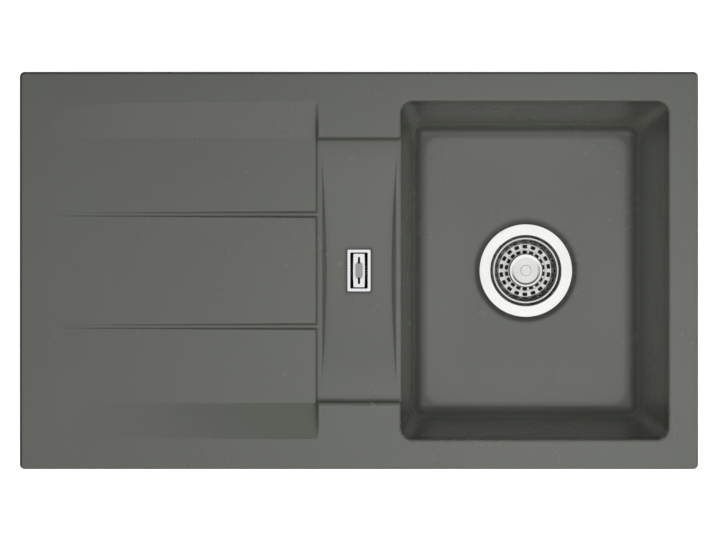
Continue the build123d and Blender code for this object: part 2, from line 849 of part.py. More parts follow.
# Overflow bezel: frame, skirt in the hole and a pad for the screw, on two roof-shaped arms under
# the cover plate
skirt_x = overflow_opening_x + 2 * bezel_skirt_wall
skirt_y = overflow_opening_y + 2 * bezel_skirt_wall
bezel_top = bezel_seat + bezel_thickness
skirt_bottom = bezel_seat - bezel_skirt_depth
pad_top = skirt_bottom + pad_thickness
plate_under = bezel_top - plate_thickness - fit_gap
arm_reach = (overflow_opening_x + bezel_skirt_wall) / 2
with BuildPart() as overflow_bezel:
    with BuildSketch(Plane.XY.offset(bezel_seat)):
        RectangleRounded(bezel_x, bezel_y, bezel_corner_radius)
    extrude(amount=bezel_thickness)
    chamfer(overflow_bezel.faces().sort_by(Axis.Z)[-1].edges(), bezel_chamfer)
    with BuildSketch(Plane.XY.offset(skirt_bottom)):
        RectangleRounded(skirt_x, skirt_y, bezel_corner_radius)
    extrude(amount=bezel_skirt_depth)
    with BuildSketch(Plane.XY.offset(skirt_bottom)):
        RectangleRounded(overflow_opening_x, overflow_opening_y, bezel_corner_radius - bezel_skirt_wall)
    extrude(amount=bezel_skirt_depth + bezel_thickness, mode=Mode.SUBTRACT)
    with BuildSketch(Plane.XY.offset(skirt_bottom)):
        Rectangle(pad_width, pad_length)
    extrude(amount=pad_thickness)
    with BuildSketch(Plane.YZ.offset(-arm_reach)):
        with BuildLine():
            Polyline((-arm_width / 2, skirt_bottom), (arm_width / 2, skirt_bottom), (0, pad_top), close=True)
        make_face()
    extrude(amount=2 * arm_reach)
    with BuildSketch(Plane.XY.offset(skirt_bottom)):
        Circle(overflow_screw_radius + fit_gap)
    extrude(amount=pad_thickness, mode=Mode.SUBTRACT)
overflow_bezel.part.label = "overflow_bezel"
export_step(overflow_bezel.part, "parts/overflow_bezel.step")

# Cover plate with barrelled sides and two slits, standing on the pad by two legs
plate_side = plate_width / 2 + plate_bulge
leg_y = pad_length / 2 - plate_thickness
with BuildPart() as overflow_plate:
    with BuildSketch(Plane.XY.offset(plate_under)):
        with BuildLine():
            ThreePointArc(
                (plate_width / 2, -plate_length / 2), (plate_side, 0), (plate_width / 2, plate_length / 2)
            )
            Line((plate_width / 2, plate_length / 2), (-plate_width / 2, plate_length / 2))
            ThreePointArc(
                (-plate_width / 2, plate_length / 2), (-plate_side, 0), (-plate_width / 2, -plate_length / 2)
            )
            Line((-plate_width / 2, -plate_length / 2), (plate_width / 2, -plate_length / 2))
        make_face()
        with GridLocations(0, plate_slot_spacing, 1, 2):
            SlotOverall(plate_slot_length, plate_slot_width, rotation=90, mode=Mode.SUBTRACT)
    extrude(amount=plate_thickness)
    with BuildSketch(Plane.XY.offset(plate_under)):
        with Locations((0, leg_y), (0, -leg_y)):
            Rectangle(plate_leg_width, plate_thickness)
    extrude(amount=pad_top - plate_under)
overflow_plate.part.label = "overflow_plate"
export_step(overflow_plate.part, "parts/overflow_plate.step")

with BuildPart() as overflow_screw:
    with BuildSketch(Plane.XY.offset(pad_top)):
        Circle(overflow_screw_head_radius)
    extrude(amount=overflow_screw_head_height)
    chamfer(overflow_screw.edges().group_by(Axis.Z)[-1], overflow_screw_chamfer)
    with BuildSketch(Plane.XY.offset(pad_top)):
        Circle(overflow_screw_radius)
    extrude(amount=-overflow_screw_length)
overflow_screw.part.label = "overflow_screw"
export_step(overflow_screw.part, "parts/overflow_screw.step")

# Gasket and funnel-shaped housing under the overflow hole
housing_top = trough_under_z - overflow_gasket_thickness
box_x = hole_x + 2 * fit_gap
box_y = hole_y + 2 * fit_gap
flange_x = box_x + 2 * (housing_wall + housing_flange_width)
flange_y = box_y + 2 * (housing_wall + housing_flange_width)
with BuildPart() as overflow_gasket:
    with BuildSketch(Plane.XY.offset(housing_top)):
        RectangleRounded(flange_x - 2 * fit_gap, flange_y - 2 * fit_gap, housing_flange_width)
        RectangleRounded(box_x, box_y, bezel_corner_radius, mode=Mode.SUBTRACT)
    extrude(amount=overflow_gasket_thickness)
overflow_gasket.part.label = "overflow_gasket"
export_step(overflow_gasket.part, "parts/overflow_gasket.step")

funnel_top = housing_top - housing_flange_thickness - housing_box_depth
funnel_bottom = funnel_top - housing_funnel_depth
housing_end = funnel_bottom - spigot_reach
web_top = housing_top - fit_gap
with BuildPart() as overflow_housing:
    with BuildSketch(Plane.XY.offset(housing_top)):
        RectangleRounded(flange_x, flange_y, housing_flange_width)
    extrude(amount=-housing_flange_thickness)
    with BuildSketch(Plane.XY.offset(housing_top)):
        Rectangle(box_x + 2 * housing_wall, box_y + 2 * housing_wall)
    extrude(amount=-(housing_top - funnel_top))
    with BuildSketch(Plane.XY.offset(funnel_top)):
        Rectangle(box_x + 2 * housing_wall, box_y + 2 * housing_wall)
    with BuildSketch(Plane.XY.offset(funnel_bottom)):
        Rectangle(2 * spigot_radius, 2 * spigot_radius)
    loft(ruled=True)
    with BuildSketch(Plane.XY.offset(funnel_bottom)):
        Circle(spigot_radius)
    extrude(amount=-spigot_reach)
    with BuildSketch(Plane.XY.offset(housing_top)):
        Rectangle(box_x, box_y)
    extrude(amount=-(housing_top - funnel_top), mode=Mode.SUBTRACT)
    with BuildSketch(Plane.XY.offset(funnel_top)):
        Rectangle(box_x, box_y)
    with BuildSketch(Plane.XY.offset(funnel_bottom)):
        Rectangle(2 * pipe_bore, 2 * pipe_bore)
    loft(ruled=True, mode=Mode.SUBTRACT)
    with BuildSketch(Plane.XY.offset(funnel_bottom)):
        Circle(pipe_bore)
    extrude(amount=-spigot_reach, mode=Mode.SUBTRACT)
    with BuildSketch(Plane.XY.offset(housing_end)):
        Circle(pipe_radius + pipe_clearance)
    extrude(amount=spigot_socket, mode=Mode.SUBTRACT)
    # Web that takes the fixing screw
    with BuildSketch(Plane.XY.offset(web_top)):
        Rectangle(box_x + housing_wall, housing_web)
    extrude(amount=-overflow_screw_length)
    with BuildSketch(Plane.XY.offset(web_top)):
        Circle(overflow_screw_radius + clamp_screw_clearance)
    extrude(amount=-overflow_screw_length, mode=Mode.SUBTRACT)
overflow_housing.part.label = "overflow_housing"
export_step(overflow_housing.part, "parts/overflow_housing.step")

# Rigid overflow pipe from the housing down and across to the waste body
pipe_start = housing_end + spigot_socket - fit_gap
pipe_finish = spigot_end + spigot_socket - fit_gap
with BuildPart() as overflow_pipe:
    with BuildLine(Plane.XZ) as pipe_path:
        FilletPolyline((0, pipe_start), (0, inlet_z), (pipe_finish, inlet_z), radius=pipe_bend_radius)
    with BuildSketch(Plane.XY.offset(pipe_start)):
        Circle(pipe_radius)
        Circle(pipe_bore, mode=Mode.SUBTRACT)
    sweep(path=pipe_path.wires()[0])
overflow_pipe.part.label = "overflow_pipe"
export_step(overflow_pipe.part, "parts/overflow_pipe.step")

# Compression joints: a washer on the pipe and a nut over the spigot, at each end
joint_planes = {
    "upper": Plane(origin=(0, 0, housing_end), x_dir=(1, 0, 0), z_dir=(0, 0, -1)),
    "lower": Plane(origin=(spigot_end, 0, inlet_z), x_dir=(0, 1, 0), z_dir=(-1, 0, 0)),
}
for end, mouth in joint_planes.items():
    with BuildPart() as pipe_washer:
        with BuildSketch(mouth):
            Circle(spigot_radius - nut_clearance)
            Circle(pipe_radius + clamp_screw_clearance, mode=Mode.SUBTRACT)
        extrude(amount=washer_length)
    pipe_washer.part.label = end + "_pipe_washer"
    export_step(pipe_washer.part, "parts/" + end + "_pipe_washer.step")

    with BuildPart() as pipe_nut:
        with BuildSketch(mouth.offset(-nut_grip)):
            RegularPolygon(nut_radius, nut_sides)
        extrude(amount=nut_grip + washer_length + nut_end_wall)
        with BuildSketch(mouth.offset(-nut_grip)):
            Circle(spigot_radius + nut_clearance)
        extrude(amount=nut_grip + washer_length, mode=Mode.SUBTRACT)
        with BuildSketch(mouth.offset(washer_length)):
            Circle(pipe_radius + pipe_clearance)
        extrude(amount=nut_end_wall, mode=Mode.SUBTRACT)
    pipe_nut.part.label = end + "_pipe_nut"
    export_step(pipe_nut.part, "parts/" + end + "_pipe_nut.step")

# Worktop clamps: insert, screw and a claw that swings on the screw
grip_z = -worktop_thickness
claw_z = grip_z - claw_lift
head_top = claw_z - claw_clearance
with BuildPart() as clamp_inserts:
    with BuildSketch(Plane.XY.offset(boss_z)):
        with Locations(*clamp_places):
            Circle(insert_radius)
            Circle(clamp_screw_radius + clamp_screw_clearance, mode=Mode.SUBTRACT)
    extrude(amount=socket_top - boss_z)
clamp_inserts.part.label = "clamp_inserts"
export_step(clamp_inserts.part, "parts/clamp_inserts.step")

with BuildPart() as clamp_screws:
    with BuildSketch(Plane.XY.offset(head_top - clamp_head_height)):
        with Locations(*clamp_places):
            Circle(clamp_head_radius)
    extrude(amount=clamp_head_height)
    chamfer(clamp_screws.edges().group_by(Axis.Z)[0], clamp_head_chamfer)
    with BuildSketch(Plane.XY.offset(head_top - clamp_head_height)):
        with Locations(*clamp_places):
            Rectangle(2 * clamp_head_radius, clamp_slot_width)
    extrude(amount=clamp_slot_depth, mode=Mode.SUBTRACT)
    with BuildSketch(Plane.XY.offset(head_top)):
        with Locations(*clamp_places):
            Circle(clamp_screw_radius)
    extrude(amount=boss_z + clamp_screw_engagement - head_top)
clamp_screws.part.label = "clamp_screws"
export_step(clamp_screws.part, "parts/clamp_screws.step")

for station, (x, y, turn) in clamps.items():
    strip = Plane(origin=(x, y, claw_z)).rotated((0, 0, turn))
    jaw = Plane(origin=strip.origin + strip.x_dir * claw_reach, x_dir=strip.y_dir, z_dir=-strip.x_dir)
    with BuildPart() as claw:
        with BuildSketch(strip):
            Circle(claw_width / 2)
            with Locations((claw_reach / 2, 0)):
                Rectangle(claw_reach, claw_width)
            Circle(clamp_screw_radius + claw_clearance, mode=Mode.SUBTRACT)
        extrude(amount=claw_thickness)
        with BuildSketch(jaw):
            with Locations((0, claw_lift / 2)):
                Rectangle(claw_width, claw_lift)
            with Locations((0, claw_lift)):
                with GridLocations(claw_notch_spacing, 0, 2, 1):
                    RegularPolygon(claw_notch, 4, mode=Mode.SUBTRACT)
        extrude(amount=claw_thickness)
    claw.part.label = "claw_" + station
    export_step(claw.part, "parts/claw_" + station + ".step")
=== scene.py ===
"""Inset kitchen sink: finishes, threads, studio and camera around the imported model, in metres."""

import json
import logging
import math
from dataclasses import dataclass
from enum import Enum

import bpy
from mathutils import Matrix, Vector


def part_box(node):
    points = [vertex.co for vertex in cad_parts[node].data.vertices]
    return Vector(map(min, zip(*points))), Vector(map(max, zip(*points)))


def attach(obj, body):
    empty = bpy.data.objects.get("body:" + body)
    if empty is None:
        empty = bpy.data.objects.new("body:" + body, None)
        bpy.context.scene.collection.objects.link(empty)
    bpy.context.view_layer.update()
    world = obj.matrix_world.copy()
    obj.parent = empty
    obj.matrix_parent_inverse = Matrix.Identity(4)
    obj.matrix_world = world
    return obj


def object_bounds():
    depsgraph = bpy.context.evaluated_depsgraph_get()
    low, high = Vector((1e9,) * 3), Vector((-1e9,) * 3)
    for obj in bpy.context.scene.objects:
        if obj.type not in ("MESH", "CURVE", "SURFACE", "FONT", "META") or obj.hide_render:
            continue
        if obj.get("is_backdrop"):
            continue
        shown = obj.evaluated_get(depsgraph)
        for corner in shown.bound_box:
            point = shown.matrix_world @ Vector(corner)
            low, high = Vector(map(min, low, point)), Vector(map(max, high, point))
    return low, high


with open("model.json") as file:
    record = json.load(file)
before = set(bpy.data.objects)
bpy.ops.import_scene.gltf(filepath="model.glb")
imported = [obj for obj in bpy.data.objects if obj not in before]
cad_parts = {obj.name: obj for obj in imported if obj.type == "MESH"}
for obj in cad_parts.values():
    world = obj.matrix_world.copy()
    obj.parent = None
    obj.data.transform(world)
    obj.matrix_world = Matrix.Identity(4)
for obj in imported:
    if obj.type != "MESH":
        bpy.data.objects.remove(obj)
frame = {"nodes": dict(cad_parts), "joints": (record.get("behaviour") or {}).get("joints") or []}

Colour = tuple[float, float, float]
Place = tuple[float, float, float]
Span = tuple[float, float]
Socket = bpy.types.NodeSocket
Outputs = bpy.types.NodeOutputs
Filling = Socket | float | tuple
Inputs = dict[str | int, Filling]

LOG = logging.getLogger("sink")
MILLIMETRE = 0.001
BODY_SINK = "sink"
FINISH_PREFIX = "finish_"

# How a screen turns a colour's numbers into light.
SCREEN_FULL = 255
SCREEN_KNEE = 0.04045
SCREEN_SLOPE = 12.92
SCREEN_OFFSET = 0.055
SCREEN_POWER = 2.4

# The colour mixing node has sockets of the same name, so they are picked by number.
MIX_SHARE = 0
MIX_FIRST = 6
MIX_SECOND = 7
MIX_RESULT = 2

ORIGIN: Place = (0.0, 0.0, 0.0)
UNIT: Span = (0.0, 1.0)
WHITE = (1.0, 1.0, 1.0, 1.0)

# Half the height of a patch in plan, far more than any piece needs.
TALL = 1.0

# Octaves of noise, rays of the edge and corner masks, and corners of a thread's section.
FINE_DETAIL = 3.0
WIDE_DETAIL = 4.0
RAY_SAMPLES = 6
RIDGE_CORNERS = 4


def linear(colour: Colour, lift: float = 1.0) -> tuple[float, float, float, float]:
    """Turn a screen colour into the renderer's own values.

    Args:
        colour: Red, green and blue from 0 to 255, as they look on a screen.
        lift: Factor that brightens or darkens the result.

    Returns:
        The colour in linear light, with full opacity.
    """
    channels = []
    for channel in colour:
        share = channel / SCREEN_FULL
        if share <= SCREEN_KNEE:
            level = share / SCREEN_SLOPE
        else:
            level = ((share + SCREEN_OFFSET) / (1 + SCREEN_OFFSET)) ** SCREEN_POWER
        channels.append(min(1.0, level * lift))
    return (*channels, 1.0)


class Graph:
    """A node tree with short calls that add nodes and join their sockets."""

    def __init__(self, tree: bpy.types.NodeTree) -> None:
        """Take a tree and clear what it starts with."""
        self.tree = tree
        tree.nodes.clear()

    def add(self, kind: str, inputs: Inputs | None = None, **options: object) -> bpy.types.Node:
        """Add a node, set its options and fill or join its inputs.

        Args:
            kind: Blender's name for the class of node.
            inputs: What goes into each input, by its name or number.
            **options: Settings of the node itself.

        Returns:
            The new node.
        """
        node = self.tree.nodes.new(kind)
        for name, value in options.items():
            setattr(node, name, value)
        for name, value in (inputs or {}).items():
            if isinstance(value, Socket):
                self.tree.links.new(value, node.inputs[name])
            else:
                node.inputs[name].default_value = value
        return node

    def math(self, operation: str, first: Filling, second: Filling = 0.0) -> Socket:
        """Return the result of one sum on two values."""
        return self.add("ShaderNodeMath", {0: first, 1: second}, operation=operation).outputs[0]

    def inverse(self, share: Filling) -> Socket:
        """Return what a share from 0 to 1 leaves over."""
        return self.math("SUBTRACT", 1.0, share)

    def spread(
        self, value: Filling, low: Filling, high: Filling, start: float = 0.0, end: float = 1.0
    ) -> Socket:
        """Map a value between two bounds on to a new range.

        Args:
            value: The value to map.
            low: Value that gives start.
            high: Value that gives end.
            start: First end of the new range.
            end: Other end of the new range.

        Returns:
            The mapped value, held within the new range.
        """
        inputs = {"Value": value, "From Min": low, "From Max": high, "To Min": start, "To Max": end}
        return self.add("ShaderNodeMapRange", inputs).outputs["Result"]

    def vector(self, operation: str, first: Filling, second: Filling = ORIGIN) -> Socket:
        """Return the result of one sum on two vectors."""
        return self.add("ShaderNodeVectorMath", {0: first, 1: second}, operation=operation).outputs["Vector"]

    def measure(self, operation: str, first: Filling, second: Filling = ORIGIN) -> Socket:
        """Return the single value that one sum on one or two vectors gives."""
        return self.add("ShaderNodeVectorMath", {0: first, 1: second}, operation=operation).outputs["Value"]

    def split(self, vector: Socket) -> Outputs:
        """Return the three parts of a vector."""
        return self.add("ShaderNodeSeparateXYZ", {0: vector}).outputs

    def join(self, *parts: Filling) -> Socket:
        """Return the vector that has the given parts, in order."""
        return self.add("ShaderNodeCombineXYZ", dict(enumerate(parts))).outputs[0]

    def noise(self, where: Socket, scale: Filling, detail: float) -> Socket:
        """Return a smooth random value from 0 to 1 at each place."""
        inputs = {"Vector": where, "Scale": scale, "Detail": detail}
        return self.add("ShaderNodeTexNoise", inputs).outputs["Fac"]

    def blend(self, share: Filling, first: Filling, second: Filling) -> Socket:
        """Mix two colours.

        Args:
            share: How much of the second colour shows, from 0 to 1.
            first: The colour at 0.
            second: The colour at 1.

        Returns:
            The mixed colour.
        """
        inputs = {MIX_SHARE: share, MIX_FIRST: first, MIX_SECOND: second}
        return self.add("ShaderNodeMix", inputs, data_type="RGBA").outputs[MIX_RESULT]

    def place(self) -> Socket:
        """Return the place on the piece, in metres, which moves with it."""
        return self.add("ShaderNodeTexCoord").outputs["Object"]


class Carries(Enum):
    """What a socket of a shared effect carries."""

    VALUE = "NodeSocketFloat"
    VECTOR = "NodeSocketVector"


class Effect:
    """A surface effect that several finishes share, kept as one shader node group."""

    label: str = ""
    inputs: dict[str, float | tuple] = {}
    outputs: dict[str, Carries] = {}

    @classmethod
    def wire(cls, graph: Graph, given: Outputs) -> dict[str, Socket]:
        """Build the effect's own nodes.

        Args:
            graph: The group's tree.
            given: The sockets that bring the effect's inputs.

        Returns:
            The socket for each output of the effect.
        """
        raise NotImplementedError

    @classmethod
    def group(cls) -> bpy.types.NodeTree:
        """Build the effect's node group on first use.

        Returns:
            The node group, which every finish shares.
        """
        found = bpy.data.node_groups.get(cls.label)
        if found:
            return found
        tree = bpy.data.node_groups.new(cls.label, "ShaderNodeTree")
        for name, value in cls.inputs.items():
            kind = Carries.VECTOR if isinstance(value, tuple) else Carries.VALUE
            socket = tree.interface.new_socket(name, in_out="INPUT", socket_type=kind.value)
            socket.default_value = value
        for name, kind in cls.outputs.items():
            tree.interface.new_socket(name, in_out="OUTPUT", socket_type=kind.value)
        graph = Graph(tree)
        given = graph.add("NodeGroupInput").outputs
        graph.add("NodeGroupOutput", cls.wire(graph, given))
        return tree

    @classmethod
    def use(cls, graph: Graph, **values: Filling) -> Outputs:
        """Place the effect in a material.

        Args:
            graph: The material's tree.
            **values: The effect's inputs, with spaces in their names as underscores.

        Returns:
            The effect's outputs.
        """
        inputs = {name.replace("_", " "): value for name, value in values.items()}
        return graph.add("ShaderNodeGroup", inputs, node_tree=cls.group()).outputs


class MineralSpeckle(Effect):
    """Fine mineral grains in a body colour, with a soft cloud over them."""

    label = "mineral_speckle"
    inputs = {"Grain": 1400.0, "Cloud": 9.0, "Cloud Share": 0.12}
    outputs = {"Tone": Carries.VALUE, "Height": Carries.VALUE}
    even_share: float = 0.5

    @classmethod
    def wire(cls, graph: Graph, given: Outputs) -> dict[str, Socket]:
        """Mix single grains, fine noise and a wide cloud.

        Args:
            graph: The group's tree.
            given: Scale of the grains and of the cloud, and the cloud's share.

        Returns:
            The tone and the height of the grains, from 0 to 1.
        """
        where = graph.place()
        cells = graph.add("ShaderNodeTexVoronoi", {"Vector": where, "Scale": given["Grain"]})
        grains = graph.add("ShaderNodeSeparateColor", {0: cells.outputs["Color"]}).outputs[0]
        fine = graph.noise(where, given["Grain"], FINE_DETAIL)
        cloud = graph.noise(where, given["Cloud"], WIDE_DETAIL)
        speckle = graph.math("MULTIPLY", graph.math("ADD", grains, fine), cls.even_share)
        pull = graph.math("MULTIPLY", graph.math("SUBTRACT", cloud, speckle), given["Cloud Share"])
        return {"Tone": graph.math("ADD", speckle, pull), "Height": fine}


class PaintedEdgeLightCornerShade(Effect):
    """Masks of outer edges, where highlights are painted, and of inner corners, where shade is painted."""

    label = "painted_edge_light_corner_shade"
    inputs = {"Edge Reach": 0.0015, "Corner Reach": 0.008}
    outputs = {"Edge": Carries.VALUE, "Corner": Carries.VALUE}

    @classmethod
    def wire(cls, graph: Graph, given: Outputs) -> dict[str, Socket]:
        """Measure how open each place is, from outside and from inside the piece.

        Args:
            graph: The group's tree.
            given: How far an edge and a corner reach, in metres.

        Returns:
            The masks of edges and of corners, from 0 to 1.
        """
        sockets = {}
        for name, reach, inside in (("Edge", "Edge Reach", True), ("Corner", "Corner Reach", False)):
            options = {"inside": inside, "only_local": True, "samples": RAY_SAMPLES}
            openness = graph.add("ShaderNodeAmbientOcclusion", {"Distance": given[reach]}, **options)
            sockets[name] = graph.inverse(openness.outputs["AO"])
        return sockets


class SoftEdges(Effect):
    """Normals that roll over every sharp edge, as glazing and moulding leave them."""

    label = "soft_edges"
    inputs = {"Radius": 0.001}
    outputs = {"Normal": Carries.VECTOR}

    @classmethod
    def wire(cls, graph: Graph, given: Outputs) -> dict[str, Socket]:
        """Round the surface's normal within the radius of an edge."""
        rounded = graph.add("ShaderNodeBevel", {"Radius": given["Radius"]}, samples=RAY_SAMPLES)
        return {"Normal": rounded.outputs["Normal"]}


class TurnedLines(Effect):
    """Fine rings round an upright axis, as a lathe or a polishing wheel leaves them."""

    label = "turned_lines"
    inputs = {"Centre": ORIGIN, "Rings": 1500.0}
    outputs = {"Tone": Carries.VALUE, "Height": Carries.VALUE}

    @classmethod
    def wire(cls, graph: Graph, given: Outputs) -> dict[str, Socket]:
        """Draw noise that changes fast along the radius and slowly round the axis.

        Args:
            graph: The group's tree.
            given: A point on the axis, and how many rings a metre holds.

        Returns:
            The tone and the height of the lines, from 0 to 1.
        """
        parts = graph.split(graph.vector("SUBTRACT", graph.place(), given["Centre"]))
        across = graph.join(parts[0], parts[1])
        turn = graph.split(graph.vector("NORMALIZE", across))
        rings = graph.math("MULTIPLY", graph.measure("LENGTH", across), given["Rings"])
        depth = graph.math("MULTIPLY", parts[2], given["Rings"])
        where = graph.join(graph.math("ADD", rings, depth), turn[0], turn[1])
        tone = graph.noise(where, 1.0, FINE_DETAIL)
        return {"Tone": tone, "Height": tone}


class StraightLines(Effect):
    """Fine straight lines, as rolling and drawing leave them on sheet and wire."""

    label = "straight_lines"
    inputs = {"Stretch": (60.0, 1500.0, 1500.0)}
    outputs = {"Tone": Carries.VALUE, "Height": Carries.VALUE}

    @classmethod
    def wire(cls, graph: Graph, given: Outputs) -> dict[str, Socket]:
        """Stretch noise along the first axis of the piece.

        Args:
            graph: The group's tree.
            given: How fine the lines are along each axis.

        Returns:
            The tone and the height of the lines, from 0 to 1.
        """
        where = graph.vector("MULTIPLY", graph.place(), given["Stretch"])
        tone = graph.noise(where, 1.0, FINE_DETAIL)
        return {"Tone": tone, "Height": tone}


class Film(Effect):
    """Soft patches of handling and dried water that change the gloss."""

    label = "film"
    inputs = {"Patch": 40.0}
    outputs = {"Mask": Carries.VALUE}
    marked: Span = (0.35, 0.7)

    @classmethod
    def wire(cls, graph: Graph, given: Outputs) -> dict[str, Socket]:
        """Draw wide soft noise with a little contrast."""
        cloud = graph.noise(graph.place(), given["Patch"], WIDE_DETAIL)
        return {"Mask": graph.spread(cloud, *cls.marked)}


class RoundedPatch(Effect):
    """A patch with rounded corners, seen along the upright axis, which fades out past its outline."""

    label = "rounded_patch"
    inputs = {"Centre": ORIGIN, "Half": (0.01, 0.01, TALL), "Round": 0.005, "Fade": 0.002}
    outputs = {"Mask": Carries.VALUE}

    @classmethod
    def wire(cls, graph: Graph, given: Outputs) -> dict[str, Socket]:
        """Measure how far each place lies past the outline.

        Args:
            graph: The group's tree.
            given: The patch's middle, half its size, its corner radius and how far it fades.

        Returns:
            The patch's mask, 1 inside and 0 past its fade.
        """
        offset = graph.vector("ABSOLUTE", graph.vector("SUBTRACT", graph.place(), given["Centre"]))
        core = graph.vector("SUBTRACT", given["Half"], given["Round"])
        past = graph.vector("MAXIMUM", graph.vector("SUBTRACT", offset, core))
        away = graph.math("SUBTRACT", graph.measure("LENGTH", past), given["Round"])
        return {"Mask": graph.spread(away, given["Fade"], 0.0)}


class MouldedSlopes(Effect):
    """Masks of the faces deep in a moulding: all of them, the gentle ones and the steep inner ones."""

    label = "moulded_slopes"
    inputs = {"Centre": ORIGIN, "Top": -0.01, "Below": -0.02, "Above": 0.06, "Floor": -0.17}
    outputs = {"Deep": Carries.VALUE, "Gentle": Carries.VALUE, "Steep": Carries.VALUE}
    gentle_tilt: Span = (0.35, 0.75)
    steep_tilt: Span = (0.45, 0.25)
    inward_turn: Span = (0.0, -0.02)

    @classmethod
    def wire(cls, graph: Graph, given: Outputs) -> dict[str, Socket]:
        """Read the masks from each place's height and the way that its face looks.

        Args:
            graph: The group's tree.
            given: The hollow's middle and the heights between which the masks grow.

        Returns:
            The masks of deep, gentle and steep faces, from 0 to 1.
        """
        place = graph.add("ShaderNodeTexCoord").outputs
        height = graph.split(place["Object"])[2]
        upright = graph.split(place["Normal"])[2]
        deep = graph.spread(height, given["Top"], given["Below"])
        lower = graph.math("MULTIPLY", deep, graph.spread(height, given["Above"], given["Floor"]))
        gentle = graph.math("MULTIPLY", deep, graph.spread(upright, *cls.gentle_tilt))
        offset = graph.vector("SUBTRACT", place["Object"], given["Centre"])
        outward = graph.measure("DOT_PRODUCT", offset, place["Normal"])
        inner = graph.math("MULTIPLY", lower, graph.spread(outward, *cls.inward_turn))
        steep = graph.math("MULTIPLY", inner, graph.spread(upright, *cls.steep_tilt))
        return {"Deep": deep, "Gentle": gentle, "Steep": steep}


@dataclass(frozen=True)
class Patch:
    """Where a finish changes: a rounded patch in plan, in metres, and how far its edge fades."""

    centre: Place
    half: Span
    corner: float
    fade: float

    def mask(self, graph: Graph) -> Socket:
        """Return the patch's mask, 1 inside and 0 past its fade."""
        sizes = {"Half": (*self.half, TALL), "Round": self.corner, "Fade": self.fade}
        return RoundedPatch.use(graph, Centre=self.centre, **sizes)["Mask"]


class Lay(Enum):
    """Which way the fine lines of a metal finish run."""

    TURNED = "turned"
    STRAIGHT = "straight"


@dataclass(frozen=True)
class Finish:
    """A surface finish: its name, its colour and the bounds of its roughness."""

    name: str
    colour: Colour
    smooth: float
    rough: float

    def material(self) -> bpy.types.Material:
        """Build the finish as a material on first use.

        Returns:
            The material, which every piece with this finish shares.
        """
        label = FINISH_PREFIX + self.name
        found = bpy.data.materials.get(label)
        if found is None:
            found = bpy.data.materials.new(label)
            found.use_nodes = True
            self.wire(Graph(found.node_tree))
        return found

    def wire(self, graph: Graph) -> None:
        """Build the material's nodes.

        Args:
            graph: The material's tree.
        """
        raise NotImplementedError

    def tinted(self, graph: Graph, share: Filling, low: float, high: float) -> Socket:
        """Return the finish's colour, between two lifts of it by a share from 0 to 1."""
        return graph.blend(share, linear(self.colour, low), linear(self.colour, high))

    def over(self, graph: Graph, share: Filling, colour: Socket, lift: float) -> Socket:
        """Return a colour with a lifted or darkened tone of the finish laid over it by a share."""
        return graph.blend(share, colour, linear(self.colour, lift))

    def roughness(self, graph: Graph, share: Filling) -> Socket:
        """Return the roughness between the finish's bounds, by a share from 0 to 1."""
        return graph.spread(share, *UNIT, self.smooth, self.rough)

    def relief(self, graph: Graph, height: Socket, depth: float, radius: float) -> Socket:
        """Return a normal that follows fine height on top of rounded edges.

        Args:
            graph: The material's tree.
            height: Height over the surface, from 0 to 1.
            depth: How deep a height of 1 is, in metres.
            radius: Radius of the rounded edges, in metres.

        Returns:
            The normal over the surface.
        """
        rounded = SoftEdges.use(graph, Radius=radius)["Normal"]
        inputs = {"Height": height, "Distance": depth, "Strength": 1.0, "Normal": rounded}
        return graph.add("ShaderNodeBump", inputs).outputs["Normal"]

    def surface(
        self, graph: Graph, colour: Socket, roughness: Socket, normal: Socket, **others: Filling
    ) -> None:
        """Join colour, roughness and normal to the surface shader.

        Args:
            graph: The material's tree.
            colour: Colour over the surface.
            roughness: Roughness over the surface.
            normal: Normal over the surface.
            **others: The shader's other inputs, with spaces in their names as underscores.
        """
        inputs = {"Base Color": colour, "Roughness": roughness, "Normal": normal}
        inputs.update({name.replace("_", " "): value for name, value in others.items()})
        shader = graph.add("ShaderNodeBsdfPrincipled", inputs)
        graph.add("ShaderNodeOutputMaterial", {"Surface": shader.outputs[0]})


